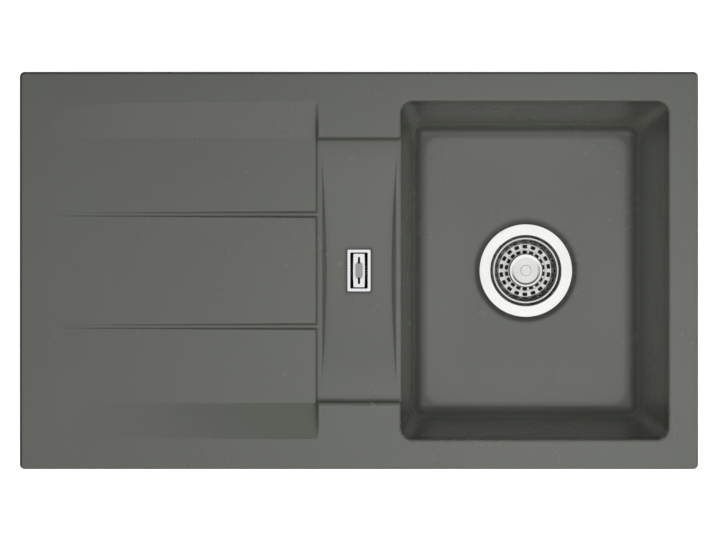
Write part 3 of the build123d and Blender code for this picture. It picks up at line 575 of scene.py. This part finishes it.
@dataclass(frozen=True)
class MattCeramic(Finish):
    """Coloured matt ceramic with fine mineral grains, painted highlights on its edges, painted shade in its
    corners and painted light on its bowl's walls.
    """

    contrast: float = 0.04
    grain_range: Span = (0.25, 0.75)
    grain_depth: float = 0.000004
    film_patch: float = 14.0
    # Painted shade in inner corners.
    corner_range: Span = (0.05, 0.45)
    corner_shade: float = 0.55
    edge_reach: float = 0.004
    edge_range: Span = (0.08, 0.45)
    # Lift of the painted highlight on outer edges.
    edge_highlight: float = 1.2
    edge_radius: float = 0.0016
    # Painted light on the bowl's walls and floor border.
    wall_painted_light: float = 2.25
    border_painted_light: float = 1.16
    foot_shade: float = 0.62
    # Tone of the painted shadow round the waste flange and the overflow bezel.
    shadow_ring_shade: float = 0.25
    # Tone of the painted shade along the rim's back and left outer edges.
    outline_shade: float = 0.34
    gloss: float = 0.45
    # Patches that place painted light and shade: the bowl's floor and middle, the rim's top, and the shadows
    # round the metal.
    floor: Patch | None = None
    middle: Patch | None = None
    top: Patch | None = None
    shadow_rings: tuple[Patch, ...] = ()

    def wire(self, graph: Graph) -> None:
        """Lay grains over the body colour, with painted shade in corners, round the metal and along the rim,
        and painted highlights on edges.

        Args:
            graph: The material's tree.
        """
        speckle = MineralSpeckle.use(graph)
        painted_light_masks = PaintedEdgeLightCornerShade.use(graph, Edge_Reach=self.edge_reach)
        film = Film.use(graph, Patch=self.film_patch)
        grains = graph.spread(speckle["Tone"], *self.grain_range)
        colour = self.tinted(graph, grains, 1 - self.contrast, 1 + self.contrast)
        colour = self.hollow(graph, colour, graph.spread(painted_light_masks["Corner"], *self.corner_range))
        # Painted shadow round the waste flange and the overflow bezel.
        for shadow_ring in self.shadow_rings:
            colour = self.over(graph, shadow_ring.mask(graph), colour, self.shadow_ring_shade)
        # Painted highlight along outer edges.
        edge = graph.spread(painted_light_masks["Edge"], *self.edge_range)
        # Painted shade along the rim's back and left outer edges, outside the top patch, where no edge
        # highlight goes.
        if self.top:
            within = self.top.mask(graph)
            edge = graph.math("MULTIPLY", edge, within)
            colour = graph.blend(within, linear(self.colour, self.outline_shade), colour)
        colour = self.over(graph, edge, colour, self.edge_highlight)
        normal = self.relief(graph, speckle["Height"], self.grain_depth, self.edge_radius)
        roughness = self.roughness(graph, film["Mask"])
        self.surface(graph, colour, roughness, normal, Specular_IOR_Level=self.gloss)

    def hollow(self, graph: Graph, colour: Socket, corner: Socket) -> Socket:
        """Paint shade in the corners on top of the moulding and at the foot of its bowl, and paint light on
        the bowl's walls and floor border.

        Args:
            graph: The material's tree.
            colour: Colour to shade.
            corner: Mask of inner corners.

        Returns:
            The shaded colour.
        """
        slopes = MouldedSlopes.use(graph, Centre=self.floor.centre if self.floor else ORIGIN)
        # Painted shade in inner corners on top of the moulding, left out of the bowl.
        shallow = graph.math("MULTIPLY", corner, graph.inverse(slopes["Deep"]))
        colour = self.over(graph, shallow, colour, self.corner_shade)
        # Painted light on the bowl's steep inner walls.
        colour = self.over(graph, slopes["Steep"], colour, self.wall_painted_light)
        if self.floor and self.middle:
            # Painted light on the border of the bowl's floor, between the middle patch and the foot.
            border = graph.math("SUBTRACT", slopes["Gentle"], self.middle.mask(graph))
            colour = self.over(graph, graph.math("MAXIMUM", border, 0.0), colour, self.border_painted_light)
            # Painted shade on the bowl's rounded foot, past the floor patch.
            past = graph.inverse(self.floor.mask(graph))
            foot = graph.math("MULTIPLY", past, slopes["Gentle"])
            colour = self.over(graph, foot, colour, self.foot_shade)
        return colour


@dataclass(frozen=True)
class LinedMetal(Finish):
    """Metal with the fine lines of turning, brushing or rolling."""

    lay: Lay = Lay.TURNED
    centre: Place = ORIGIN
    contrast: float = 0.12
    line_range: Span = (0.3, 0.7)
    line_depth: float = 0.000006
    line_share: float = 0.7
    film_share: float = 0.3
    edge_radius: float = 0.0003
    drawn_out: float = 0.5
    corner_reach: float = 0.003
    corner_range: Span = (0.25, 1.0)
    corner_share: float = 0.7
    corner_shade: float = 0.45
    dull: Patch | None = None
    dull_tone: float = 0.78

    def wire(self, graph: Graph) -> None:
        """Let the lines tint, roughen and score the metal, with a film of handling and painted shade in its
        inner corners.

        Args:
            graph: The material's tree.
        """
        if self.lay is Lay.TURNED:
            lines = TurnedLines.use(graph, Centre=self.centre)
        else:
            lines = StraightLines.use(graph)
        film = Film.use(graph)
        painted_light_masks = PaintedEdgeLightCornerShade.use(graph, Corner_Reach=self.corner_reach)
        tone = graph.spread(lines["Tone"], *self.line_range)
        colour = self.tinted(graph, tone, 1 - self.contrast, 1.0)
        # Painted shade in inner corners.
        corner = graph.spread(painted_light_masks["Corner"], *self.corner_range, 0.0, self.corner_share)
        colour = self.over(graph, corner, colour, self.corner_shade)
        if self.dull:
            colour = self.over(graph, self.dull.mask(graph), colour, self.dull_tone)
        scored = graph.math("MULTIPLY", tone, self.line_share)
        handled = graph.math("MULTIPLY", film["Mask"], self.film_share)
        roughness = self.roughness(graph, graph.math("ADD", scored, handled))
        normal = self.relief(graph, lines["Height"], self.line_depth, self.edge_radius)
        tangent = graph.add("ShaderNodeTangent", direction_type="RADIAL", axis="Z").outputs[0]
        others = {"Metallic": 1.0, "Anisotropic": self.drawn_out, "Tangent": tangent}
        self.surface(graph, colour, roughness, normal, **others)


@dataclass(frozen=True)
class PolishedMetal(Finish):
    """Plated metal polished bright, dulled a little by water marks."""

    film_patch: float = 220.0
    film_depth: float = 0.000002
    edge_radius: float = 0.0004
    corner_reach: float = 0.002
    corner_range: Span = (0.25, 1.0)
    corner_share: float = 0.8
    corner_shade: float = 0.35
    satin: Patch | None = None
    satin_tone: float = 0.62
    satin_rough: float = 0.4

    def wire(self, graph: Graph) -> None:
        """Let water marks dull the polish, paint shade in the corners and brush any satin patch.

        Args:
            graph: The material's tree.
        """
        film = Film.use(graph, Patch=self.film_patch)
        painted_light_masks = PaintedEdgeLightCornerShade.use(graph, Corner_Reach=self.corner_reach)
        # Painted shade in inner corners.
        corner = graph.spread(painted_light_masks["Corner"], *self.corner_range, 0.0, self.corner_share)
        colour = self.tinted(graph, corner, 1.0, self.corner_shade)
        roughness = self.roughness(graph, film["Mask"])
        if self.satin:
            patch = self.satin.mask(graph)
            colour = self.over(graph, patch, colour, self.satin_tone)
            dulled = graph.math("MULTIPLY", patch, self.satin_rough)
            roughness = graph.math("MAXIMUM", roughness, dulled)
        normal = self.relief(graph, film["Mask"], self.film_depth, self.edge_radius)
        self.surface(graph, colour, roughness, normal, Metallic=1.0)


@dataclass(frozen=True)
class MouldedPlastic(Finish):
    """Moulded plastic or rubber with a fine grain from its mould."""

    grain: float = 1800.0
    grain_range: Span = (0.3, 0.7)
    grain_depth: float = 0.00002
    cloud: float = 25.0
    cloud_share: float = 0.6
    contrast: float = 0.05
    film_patch: float = 30.0
    edge_radius: float = 0.0004
    corner_reach: float = 0.006
    corner_range: Span = (0.2, 1.0)
    corner_share: float = 0.7
    corner_shade: float = 0.6
    gloss: float = 0.4

    def wire(self, graph: Graph) -> None:
        """Lay mould grain, handling film and painted shade in inner corners over the colour.

        Args:
            graph: The material's tree.
        """
        speckle = MineralSpeckle.use(
            graph, Grain=self.grain, Cloud=self.cloud, Cloud_Share=self.cloud_share
        )
        film = Film.use(graph, Patch=self.film_patch)
        painted_light_masks = PaintedEdgeLightCornerShade.use(graph, Corner_Reach=self.corner_reach)
        tone = graph.spread(speckle["Tone"], *self.grain_range)
        colour = self.tinted(graph, tone, 1 - self.contrast, 1 + self.contrast)
        # Painted shade in inner corners.
        corner = graph.spread(painted_light_masks["Corner"], *self.corner_range, 0.0, self.corner_share)
        colour = self.over(graph, corner, colour, self.corner_shade)
        roughness = self.roughness(graph, film["Mask"])
        normal = self.relief(graph, speckle["Height"], self.grain_depth, self.edge_radius)
        self.surface(graph, colour, roughness, normal, Specular_IOR_Level=self.gloss)


def middle(node: str) -> Vector:
    """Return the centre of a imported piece's box."""
    low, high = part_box(node)
    return (low + high) / 2


def footprint(node: str, corner: float, fade: float, inset: float = 0.0) -> Patch:
    """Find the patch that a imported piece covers, seen from above.

    Args:
        node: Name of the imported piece.
        corner: Radius of the patch's corners, in metres.
        fade: How far its edge fades, in metres.
        inset: How far its outline lies inside the piece's own.

    Returns:
        The patch.
    """
    low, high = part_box(node)
    half = (high - low) / 2
    return Patch(tuple(middle(node)), (half.x - inset, half.y - inset), corner, fade)


def dress(finish: Finish, *nodes: str) -> None:
    """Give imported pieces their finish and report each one.

    Args:
        finish: The finish that they take.
        *nodes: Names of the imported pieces.
    """
    for node in nodes:
        mesh = frame["nodes"][node].data
        mesh.materials.clear()
        mesh.materials.append(finish.material())
        LOG.info("%s: %s", node, finish.name)


@dataclass(frozen=True)
class ThreadRidge:
    """A screw thread: a ridge that winds up a round shank and runs out at both ends."""

    radius: float
    pitch: float
    height: float
    sides: int
    sunk_share: float = 0.1
    least_share: float = 0.02
    run_outs_a_turn: int = 2
    crest: Span = (0.4, 0.6)

    def section(self, base: Vector, step: int, steps: int) -> list[Vector]:
        """Work out the ridge's four corners at one step round the shank.

        Args:
            base: Lowest point of the thread on the shank's axis.
            step: Which step it is, from 0.
            steps: The last step.

        Returns:
            The corners, from the lowest up.
        """
        turn = 2 * math.pi * step / self.sides
        from_start = self.run_outs_a_turn * step / self.sides
        to_end = self.run_outs_a_turn * (steps - step) / self.sides
        run_out = min(1.0, from_start, to_end)
        foot = self.radius - self.sunk_share * self.height
        crest = foot + self.height * max(run_out, self.least_share)
        rise = self.pitch * step / self.sides
        points = []
        for reach, lift in ((foot, 0.0), (crest, self.crest[0]), (crest, self.crest[1]), (foot, 1.0)):
            spoke = Vector((math.cos(turn) * reach, math.sin(turn) * reach, 0))
            points.append(base + spoke + Vector((0, 0, rise + lift * self.pitch)))
        return points

    def rings(self, base: Vector, length: float) -> tuple[list[Vector], list[tuple[int, ...]]]:
        """Work out one ridge along an upright shank.

        Args:
            base: Lowest point of the thread on the shank's axis.
            length: How far up the thread runs.

        Returns:
            The points of the ridge and its faces.
        """
        steps = int(self.sides * (length / self.pitch - 1))
        points = [corner for step in range(steps + 1) for corner in self.section(base, step, steps)]
        faces = []
        for step in range(steps):
            first = RIDGE_CORNERS * step
            second = first + RIDGE_CORNERS
            for side in range(RIDGE_CORNERS):
                after = (side + 1) % RIDGE_CORNERS
                faces.append((first + side, second + side, second + after, first + after))
        last = RIDGE_CORNERS * steps
        faces.append(tuple(range(RIDGE_CORNERS)))
        faces.append(tuple(reversed(range(last, last + RIDGE_CORNERS))))
        return points, faces

    def build(
        self, name: str, bases: list[Vector], length: float, finish: Finish, slot: str
    ) -> bpy.types.Object:
        """Make one piece that holds a ridge on each of several shanks.

        Args:
            name: Name of the new piece.
            bases: Lowest point of each thread.
            length: How far up each thread runs.
            finish: Finish of the thread.
            slot: Material slot that the thread belongs to; not used.

        Returns:
            The new piece, riding on the sink.
        """
        points: list[Vector] = []
        faces: list[tuple[int, ...]] = []
        for base in bases:
            more_points, more_faces = self.rings(base, length)
            faces += [tuple(index + len(points) for index in face) for face in more_faces]
            points += more_points
        mesh = bpy.data.meshes.new(name)
        mesh.from_pydata(points, [], faces)
        mesh.shade_smooth()
        mesh.materials.append(finish.material())
        piece = bpy.data.objects.new(name, mesh)
        bpy.context.scene.collection.objects.link(piece)
        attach(piece, BODY_SINK)
        LOG.info("%s: %d ridges", name, len(bases))
        return piece


@dataclass
class SinkMoulding:
    """The moulded sink and the seal under its rim."""

    # Sizes of the patches that place painted shade and light: the bowl's floor and middle, the rim's
    # outline, and the shadows round the flange and the bezel.
    floor_half: Span = (117.5 * MILLIMETRE, 158.0 * MILLIMETRE)
    floor_corner: float = 12.0 * MILLIMETRE
    floor_fade: float = 6.0 * MILLIMETRE
    middle_half: Span = (60.0 * MILLIMETRE, 90.0 * MILLIMETRE)
    middle_fade: float = 60.0 * MILLIMETRE
    rim_corner: float = 3.0 * MILLIMETRE
    rim_shade: float = 1.9 * MILLIMETRE
    shadow_ring_fade: float = 9.0 * MILLIMETRE
    bezel_fade: float = 4.0 * MILLIMETRE
    bezel_corner: float = 2.0 * MILLIMETRE

    def body(self) -> MattCeramic:
        """Work out the ceramic, with painted shade at the bowl's foot, round the metal and along the rim.

        Returns:
            The finish of the moulding.
        """
        # Painted shadow rings round the waste flange and the overflow bezel.
        waste = footprint("waste_flange", 0.0, self.shadow_ring_fade)
        shadow_rings = (
            Patch(waste.centre, waste.half, waste.half[0], waste.fade),
            footprint("overflow_bezel", self.bezel_corner, self.bezel_fade),
        )
        # The top patch sits inside the rim's outline, shifted towards the lit front right, so the painted
        # shade shows along the back and left edges.
        rim = footprint("sink_body", self.rim_corner, self.rim_shade, self.rim_shade)
        lit = Vector(rim.centre) + Vector((self.rim_shade, -self.rim_shade, 0))
        return MattCeramic(
            "matt_ceramic",
            colour=(90, 92, 86),
            smooth=0.26,
            rough=0.28,
            floor=Patch(waste.centre, self.floor_half, self.floor_corner, self.floor_fade),
            middle=Patch(waste.centre, self.middle_half, self.floor_corner, self.middle_fade),
            top=Patch(tuple(lit), rim.half, rim.corner, rim.fade),
            shadow_rings=shadow_rings,
        )

    def dress(self) -> None:
        """Finish the moulding and its seal."""
        foam = {"grain": 700.0, "grain_depth": 0.0001}
        seal = MouldedPlastic("seal_foam", colour=(46, 46, 46), smooth=0.85, rough=0.95, **foam)
        dress(self.body(), "sink_body")
        dress(seal, "rim_seal")


@dataclass
class BasketWaste:
    """The fixed waste: steel flange, moulded body, gaskets and the screw that joins them."""

    thread_pitch: float = 2.309 * MILLIMETRE
    thread_height: float = 0.7 * MILLIMETRE
    thread_start: float = 1.0 * MILLIMETRE
    thread_length: float = 31.0 * MILLIMETRE
    thread_sides: int = 48
    outlet_radius: float = 23.9 * MILLIMETRE

    def dress(self) -> None:
        """Finish the pieces and cut the outlet's thread."""
        turned = {"centre": tuple(middle("waste_flange"))}
        steel = LinedMetal("waste_steel", colour=(230, 230, 228), smooth=0.14, rough=0.24, **turned)
        screw = LinedMetal("screw_steel", colour=(206, 206, 204), smooth=0.18, rough=0.3, **turned)
        brass = LinedMetal("insert_brass", colour=(214, 178, 98), smooth=0.25, rough=0.4, **turned)
        plastic = MouldedPlastic("waste_plastic", colour=(226, 226, 221), smooth=0.35, rough=0.5)
        rubber = MouldedPlastic("gasket_rubber", colour=(30, 30, 30), smooth=0.6, rough=0.75, grain=900.0)
        dress(steel, "waste_flange")
        dress(screw, "waste_screw")
        dress(brass, "waste_insert")
        dress(plastic, "waste_body")
        dress(rubber, "flange_gasket", "body_gasket")
        self.thread(plastic)

    def thread(self, plastic: Finish) -> None:
        """Wind the thread on the outlet tail.

        Args:
            plastic: Finish of the waste's body.
        """
        low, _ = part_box("waste_body")
        axis = middle("waste_flange")
        ridge = ThreadRidge(self.outlet_radius, self.thread_pitch, self.thread_height, self.thread_sides)
        base = Vector((axis.x, axis.y, low.z + self.thread_start))
        ridge.build("outlet_thread", [base], self.thread_length, plastic, "waste_plastic")


@dataclass
class StrainerBasket:
    """The lift-out basket with its plug, stem and dished knob."""

    dish_radius: float = 15.0 * MILLIMETRE
    dish_fade: float = 2.0 * MILLIMETRE

    def dress(self) -> None:
        """Finish the pieces that lift out together."""
        centre = tuple(middle("basket"))
        soft = {"centre": centre, "drawn_out": 0.3, "corner_share": 0.25}
        dish = Patch(centre, (self.dish_radius, self.dish_radius), self.dish_radius, self.dish_fade)
        dished = {"centre": centre, "dull": dish}
        steel = LinedMetal("basket_steel", colour=(230, 230, 228), smooth=0.28, rough=0.42, **soft)
        knob = LinedMetal("knob_steel", colour=(230, 230, 228), smooth=0.14, rough=0.26, **dished)
        rubber = MouldedPlastic("plug_rubber", colour=(26, 26, 26), smooth=0.55, rough=0.7, grain=900.0)
        dress(steel, "basket", "basket_stem", "plug_retainer")
        dress(knob, "basket_knob")
        dress(rubber, "basket_plug")


@dataclass
class OverflowSet:
    """The overflow inlet in the trough and the pipe that joins it to the waste."""

    satin_half: Span = (3.6 * MILLIMETRE, 9.0 * MILLIMETRE)
    satin_corner: float = 3.5 * MILLIMETRE
    satin_fade: float = 2.0 * MILLIMETRE
    chrome: Colour = (208, 208, 210)

    def dress(self) -> None:
        """Finish the inlet, its housing, the pipe and the two pipe joints."""
        satin = Patch(tuple(middle("overflow_plate")), self.satin_half, self.satin_corner, self.satin_fade)
        bezel = PolishedMetal("bezel_chrome", self.chrome, smooth=0.05, rough=0.14)
        plate = PolishedMetal("plate_chrome", self.chrome, smooth=0.06, rough=0.16, satin=satin)
        screw = LinedMetal("overflow_screw_steel", colour=(200, 200, 198), smooth=0.2, rough=0.35)
        housing = MouldedPlastic("housing_plastic", colour=(44, 45, 47), smooth=0.4, rough=0.55)
        pipe = MouldedPlastic("pipe_plastic", colour=(219, 219, 214), smooth=0.3, rough=0.45, grain=2600.0)
        nut = MouldedPlastic("nut_plastic", colour=(70, 72, 74), smooth=0.35, rough=0.5)
        rubber = MouldedPlastic("washer_rubber", colour=(30, 30, 30), smooth=0.6, rough=0.75, grain=900.0)
        dress(bezel, "overflow_bezel")
        dress(plate, "overflow_plate")
        dress(screw, "overflow_screw")
        dress(housing, "overflow_housing")
        dress(pipe, "overflow_pipe")
        dress(nut, "upper_pipe_nut", "lower_pipe_nut")
        dress(rubber, "upper_pipe_washer", "lower_pipe_washer", "overflow_gasket")


@dataclass
class WorktopClamps:
    """The screws, inserts and swinging claws that grip the worktop."""

    thread_pitch: float = 0.8 * MILLIMETRE
    thread_height: float = 0.3 * MILLIMETRE
    thread_sides: int = 12
    shank_radius: float = 2.4 * MILLIMETRE
    thread_margin: float = 3.2 * MILLIMETRE

    def dress(self) -> None:
        """Finish the clamps and wind the threads on their screws."""
        rolled = {"lay": Lay.STRAIGHT, "contrast": 0.2, "drawn_out": 0.2}
        zinc = LinedMetal("clamp_zinc", colour=(190, 192, 196), smooth=0.3, rough=0.5, **rolled)
        insert = MouldedPlastic("insert_plastic", colour=(82, 82, 82), smooth=0.4, rough=0.55)
        claws = sorted(name for name in frame["nodes"] if name.startswith("claw_"))
        dress(zinc, "clamp_screws")
        dress(insert, "clamp_inserts")
        dress(zinc, *claws)
        self.threads(claws, zinc)

    def threads(self, claws: list[str], zinc: Finish) -> None:
        """Wind a thread on each screw, from its claw up to its insert.

        Args:
            claws: Names of the claws, which are also the names of their bodies.
            zinc: Finish of the screws.
        """
        bases = []
        for joint in frame["joints"]:
            if joint["child"] in claws:
                _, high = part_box(joint["child"])
                bases.append(Vector((joint["pos_m"][0], joint["pos_m"][1], high.z)))
        boss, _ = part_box("clamp_inserts")
        length = boss.z - bases[0].z - self.thread_margin
        ridge = ThreadRidge(self.shank_radius, self.thread_pitch, self.thread_height, self.thread_sides)
        ridge.build("clamp_threads", bases, length, zinc, "clamp_zinc")


def hang(name: str, lamp: bpy.types.Light, heading: Vector, mirrored: bool) -> bpy.types.Object:
    """Put a lamp in the studio and point it.

    Args:
        name: Name of the lamp.
        lamp: The lamp itself.
        heading: The way that its light goes.
        mirrored: Whether metal and gloss mirror it.

    Returns:
        The lamp's object.
    """
    piece = bpy.data.objects.new(name, lamp)
    piece.rotation_euler = heading.to_track_quat("-Z", "Y").to_euler()
    piece.visible_glossy = mirrored
    bpy.context.scene.collection.objects.link(piece)
    LOG.info("%s: lamp", name)
    return piece


@dataclass(frozen=True)
class Softbox:
    """A soft lamp of the studio: its place and aim, its size, power in watts and beam in degrees."""

    name: str
    place: Place
    aim: Place
    width: float
    depth: float
    power: float
    mirrored: bool = False
    beam: float = 180.0

    def build(self) -> None:
        """Hang the lamp and point it at its aim."""
        lamp = bpy.data.lights.new(self.name, "AREA")
        lamp.shape = "RECTANGLE"
        lamp.size = self.width
        lamp.size_y = self.depth
        lamp.energy = self.power
        lamp.spread = math.radians(self.beam)
        piece = hang(self.name, lamp, Vector(self.aim) - Vector(self.place), self.mirrored)
        piece.location = self.place
        piece.visible_camera = False


@dataclass(frozen=True)
class OverheadBank:
    """A far bank of lamps overhead, whose even soft light metal doesn't mirror; angles in degrees."""

    name: str = "overhead_bank"
    strength: float = 0.95
    spread: float = 22.0
    lean_right: float = 0.5
    lean_front: float = 1.5

    def build(self) -> None:
        """Hang the bank so that its light comes down with a slight lean."""
        lamp = bpy.data.lights.new(self.name, "SUN")
        lamp.energy = self.strength
        lamp.angle = math.radians(self.spread)
        right = math.tan(math.radians(self.lean_right))
        front = math.tan(math.radians(self.lean_front))
        hang(self.name, lamp, Vector((-right, front, -1.0)), mirrored=False)


@dataclass
class Studio:
    """Plain pale floor, soft lamps, sky and the camera straight above the sink."""

    floor_span: float = 24.0
    floor_tone: float = 0.9
    floor_glow: float = 0.6
    sky_level: float = 0.23
    low_height: float = -0.14
    low_aside: float = 1.7
    low_ahead: float = 1.6
    low_width: float = 1.4
    low_depth: float = 0.2
    low_power: float = 7.0
    camera_height: float = 3.545
    camera_place: Span = (-0.00115, 0.00057)
    camera_far: float = 100.0
    photo_span: float = 0.8225
    sensor_width: float = 36.0
    bank: OverheadBank = OverheadBank()
    ceiling: Softbox = Softbox(
        "ceiling_panel",
        place=(0.5, -0.99, 2.9),
        aim=(0.5, -0.99, 0.0),
        width=3.2,
        depth=2.8,
        power=30.0,
        mirrored=True,
    )
    front: Softbox = Softbox(
        "front_lamp", place=(0.4, -0.3, 1.7), aim=(0.3, -0.1, -0.1), width=0.6, depth=0.6, power=4.2
    )
    bowl: Softbox = Softbox(
        "bowl_lamp",
        place=(0.21, 0.0, 1.3),
        aim=(0.21, 0.0, 0.0),
        width=0.5,
        depth=0.6,
        power=0.28,
        beam=30.0,
    )

    def low_lamps(self) -> list[Softbox]:
        """Work out the four low lamps that light the waste and its pipe from the sides.

        Returns:
            The lamps at the left, the right, the front and the back.
        """
        spots = {
            "low_left": (-self.low_aside, 0.0),
            "low_right": (self.low_aside, 0.0),
            "low_front": (0.0, -self.low_ahead),
            "low_back": (0.0, self.low_ahead),
        }
        aim = (0.0, 0.0, self.low_height)
        sizes = (self.low_width, self.low_depth, self.low_power)
        return [Softbox(name, (*spot, self.low_height), aim, *sizes) for name, spot in spots.items()]

    def floor_white(self) -> bpy.types.Material:
        """Mix a matt white that glows a little to the camera and in mirrors but keeps a shadow.

        Returns:
            The floor's material.
        """
        material = bpy.data.materials.new("studio_white")
        material.use_nodes = True
        graph = Graph(material.node_tree)
        path = graph.add("ShaderNodeLightPath").outputs
        seen = graph.math("MAXIMUM", path["Is Camera Ray"], path["Is Glossy Ray"])
        seen = graph.math("MAXIMUM", seen, path["Is Transmission Ray"])
        tone = (self.floor_tone, self.floor_tone, self.floor_tone, 1.0)
        matt = graph.add("ShaderNodeBsdfDiffuse", {"Color": tone})
        glow = graph.add("ShaderNodeEmission", {"Strength": graph.math("MULTIPLY", seen, self.floor_glow)})
        both = graph.add("ShaderNodeAddShader", {0: matt.outputs[0], 1: glow.outputs[0]})
        graph.add("ShaderNodeOutputMaterial", {"Surface": both.outputs[0]})
        return material

    def floor(self) -> None:
        """Lay the floor under the lowest piece."""
        low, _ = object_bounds()
        half = self.floor_span / 2
        mesh = bpy.data.meshes.new("studio_floor")
        outline = [(-half, -half, 0), (half, -half, 0), (half, half, 0), (-half, half, 0)]
        mesh.from_pydata(outline, [], [(0, 1, 2, 3)])
        mesh.materials.append(self.floor_white())
        piece = bpy.data.objects.new("studio_floor", mesh)
        piece.location.z = low.z - MILLIMETRE
        bpy.context.scene.collection.objects.link(piece)
        piece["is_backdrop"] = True
        LOG.info("studio_floor: stage")

    def light(self) -> None:
        """Hang the lamps and set the even light of the sky."""
        self.bank.build()
        for lamp in (self.ceiling, self.front, self.bowl, *self.low_lamps()):
            lamp.build()
        world = bpy.data.worlds.new("studio_sky")
        world.use_nodes = True
        graph = Graph(world.node_tree)
        sky = graph.add("ShaderNodeBackground", {"Color": WHITE, "Strength": self.sky_level})
        graph.add("ShaderNodeOutputWorld", {"Surface": sky.outputs[0]})
        bpy.context.scene.world = world

    def camera(self) -> None:
        """Look straight down from the photograph's height, with the back of the sink at the top."""
        _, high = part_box("sink_body")
        lens = bpy.data.cameras.new("photo_camera")
        lens.sensor_width = self.sensor_width
        lens.lens = self.sensor_width * self.camera_height / self.photo_span
        lens.clip_end = self.camera_far
        piece = bpy.data.objects.new("photo_camera", lens)
        piece.location = (*self.camera_place, high.z + self.camera_height)
        bpy.context.scene.collection.objects.link(piece)
        bpy.context.scene.camera = piece
        LOG.info("photo_camera: %.3f m above the rim", self.camera_height)

    def build(self) -> None:
        """Set up the floor, the light and the camera."""
        bpy.context.scene.view_settings.view_transform = "Standard"
        self.floor()
        self.light()
        self.camera()


def main() -> None:
    """Dress the sink and build the studio."""
    logging.basicConfig(level=logging.INFO, format="%(message)s")
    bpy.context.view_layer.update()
    for assembly in (SinkMoulding(), BasketWaste(), StrainerBasket(), OverflowSet(), WorktopClamps()):
        assembly.dress()
    Studio().build()


if __name__ == "__main__":
    main()
